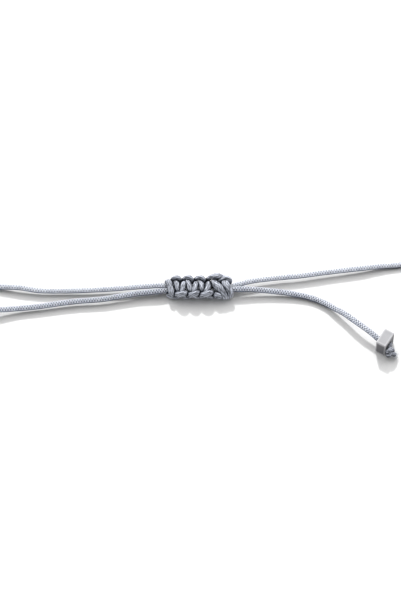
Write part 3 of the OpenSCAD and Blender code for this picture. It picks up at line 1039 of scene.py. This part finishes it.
def filament_tubes(name, starts, ways, lengths, radius, bend, rings=7, sides=5):
    """Thin round filaments as one mesh. One starts at each start, goes its way for its length and bends
    aside with the square of the distance: start + length (way s + bend s^2). It stays above the floor and
    thins to a third at its tip."""
    count = len(starts)
    s = np.linspace(0, 1, rings)[None, :, None]
    path = starts[:, None] + ways[:, None] * lengths[:, None, None] * s
    path = path + bend[:, None] * lengths[:, None, None] * s**2
    path[:, :, 2] = np.maximum(path[:, :, 2], radius)
    along = unit(np.gradient(path, axis=1))
    helper = np.where(np.abs(ways[:, 2:3]) > 0.8, [[1.0, 0, 0]], [[0, 0, 1.0]])
    out = unit(np.cross(along, helper[:, None]))
    around = ring_directions(out, np.cross(along, out), sides)
    thin = radius * (1 - 0.66 * s[..., None])
    tubes = (path[:, :, None] + thin * around).reshape(count, -1, 3)
    poles = path[:, [0, -1]]
    points = np.concatenate([tubes, poles], 1).reshape(-1, 3)
    quads, fans = tube_faces(count, rings, sides)
    quad_uv, fan_uv = tube_uv(np.linspace(0, 1, rings), count, sides)
    return new_mesh(name, points, quads, fans, quad_uv, fan_uv)


class BRACELET_OT_beads(Operator):
    """Make the two square silver beads"""

    bl_idname = "bracelet.beads"
    bl_label = "Beads"

    def execute(self, context):
        for side in BEADS:
            mesh = bead_mesh(f"{side}_square_bead", side)
            piece = add_piece(mesh, "silver", finish_named("satin_silver"), f"{side}_bead")
            rounding = piece.modifiers.new("edge rounding", "BEVEL")
            rounding.width = 0.015 * MM
            rounding.segments = 2
            rounding.limit_method = "ANGLE"
            rounding.angle_limit = math.radians(25)
            rounding.harden_normals = True
        return {"FINISHED"}


class BRACELET_OT_end_knots(Operator):
    """Make the overhand knots behind the beads and their frayed tips"""

    bl_idname = "bracelet.end_knots"
    bl_label = "End knots"

    def execute(self, context):
        cord = context.scene.bracelet_cord
        step = 0.05 * MM
        slack = 0.006 * MM
        own_gap = 1.0 * MM
        strand = 0.38 * MM
        shade_size = 0.6 * MM
        for number, side in enumerate(BEADS):
            path, middle, axes = end_knot_path(side, step)
            from_middle = path - middle + 0.01 * MM * axes[:, 0]
            turns = np.arange(len(path)) * step / (1.2 * cord.lead)
            # The end knots get painted shade in their creases and towards their undersides
            mesh = pressed_strand(
                f"{side}_overhand_knot", path, from_middle, Neighbours(path, own_gap),
                np.full((len(path), STRAND_SIDES), strand), slack, shade_size, True,
                0.8 * cord.relief, turns)
            add_piece(mesh, "cord", finish_named("pulled_nylon"), f"{side}_end_knot")
            fray = self.fray(f"{side}_frayed_tip", path, number)
            add_piece(fray, "cord", finish_named("braided_nylon"))
        return {"FINISHED"}

    def fray(self, name, path, seed):
        """Filaments that spread from the cord's cut end."""
        dice = np.random.default_rng(seed + 5)
        count = 70
        way = unit(path[-1] - path[-8])
        spread = dice.normal(0, 0.35, (count, 3))
        starts = path[-1] - way * 0.15 * MM + dice.normal(0, 0.1, (count, 3)) * MM
        lengths = dice.uniform(0.4, 1.1, count) * MM
        bend = dice.normal(0, 0.3, (count, 3)) - (0, 0, 0.25)
        return filament_tubes(name, starts, unit(way + spread), lengths, 0.022 * MM, bend)


class BRACELET_OT_free_cords(Operator):
    """A step that makes no change to the scene"""

    bl_idname = "bracelet.free_cords"
    bl_label = "Free cords"

    def execute(self, context):
        return {"FINISHED"}


class BRACELET_PT_panel(Panel):
    """Lists the steps that make the bracelet, with their sizes and colours"""

    bl_idname = "BRACELET_PT_panel"
    bl_label = "Macrame bracelet"
    bl_space_type = "VIEW_3D"
    bl_region_type = "UI"
    bl_category = "Bracelet"

    def draw(self, context):
        for operator in OPERATORS:
            self.layout.operator(operator.bl_idname)
        for name, group in SETTINGS.items():
            box = self.layout.box()
            for prop in group.__annotations__:
                box.prop(getattr(context.scene, name), prop)


SETTINGS = {
    "bracelet_cord": CordSettings,
    "bracelet_knot": KnotSettings,
    "bracelet_bead": BeadSettings,
    "bracelet_stage": StageSettings,
}
OPERATORS = [
    BRACELET_OT_stage,
    BRACELET_OT_tails,
    BRACELET_OT_band,
    BRACELET_OT_sliding_knot,
    BRACELET_OT_beads,
    BRACELET_OT_end_knots,
    BRACELET_OT_free_cords,
]


def register():
    for name, group in SETTINGS.items():
        bpy.utils.register_class(group)
        setattr(bpy.types.Scene, name, PointerProperty(type=group))
    for operator in [*OPERATORS, BRACELET_PT_panel]:
        bpy.utils.register_class(operator)


def unregister():
    for operator in [BRACELET_PT_panel, *reversed(OPERATORS)]:
        bpy.utils.unregister_class(operator)
    for name, group in SETTINGS.items():
        delattr(bpy.types.Scene, name)
        bpy.utils.unregister_class(group)


def main():
    register()
    bpy.ops.bracelet.stage()
    bpy.ops.bracelet.tails()
    bpy.ops.bracelet.band()
    bpy.ops.bracelet.sliding_knot()
    bpy.ops.bracelet.beads()
    bpy.ops.bracelet.end_knots()
    bpy.ops.bracelet.free_cords()


if __name__ == "__main__":
    main()
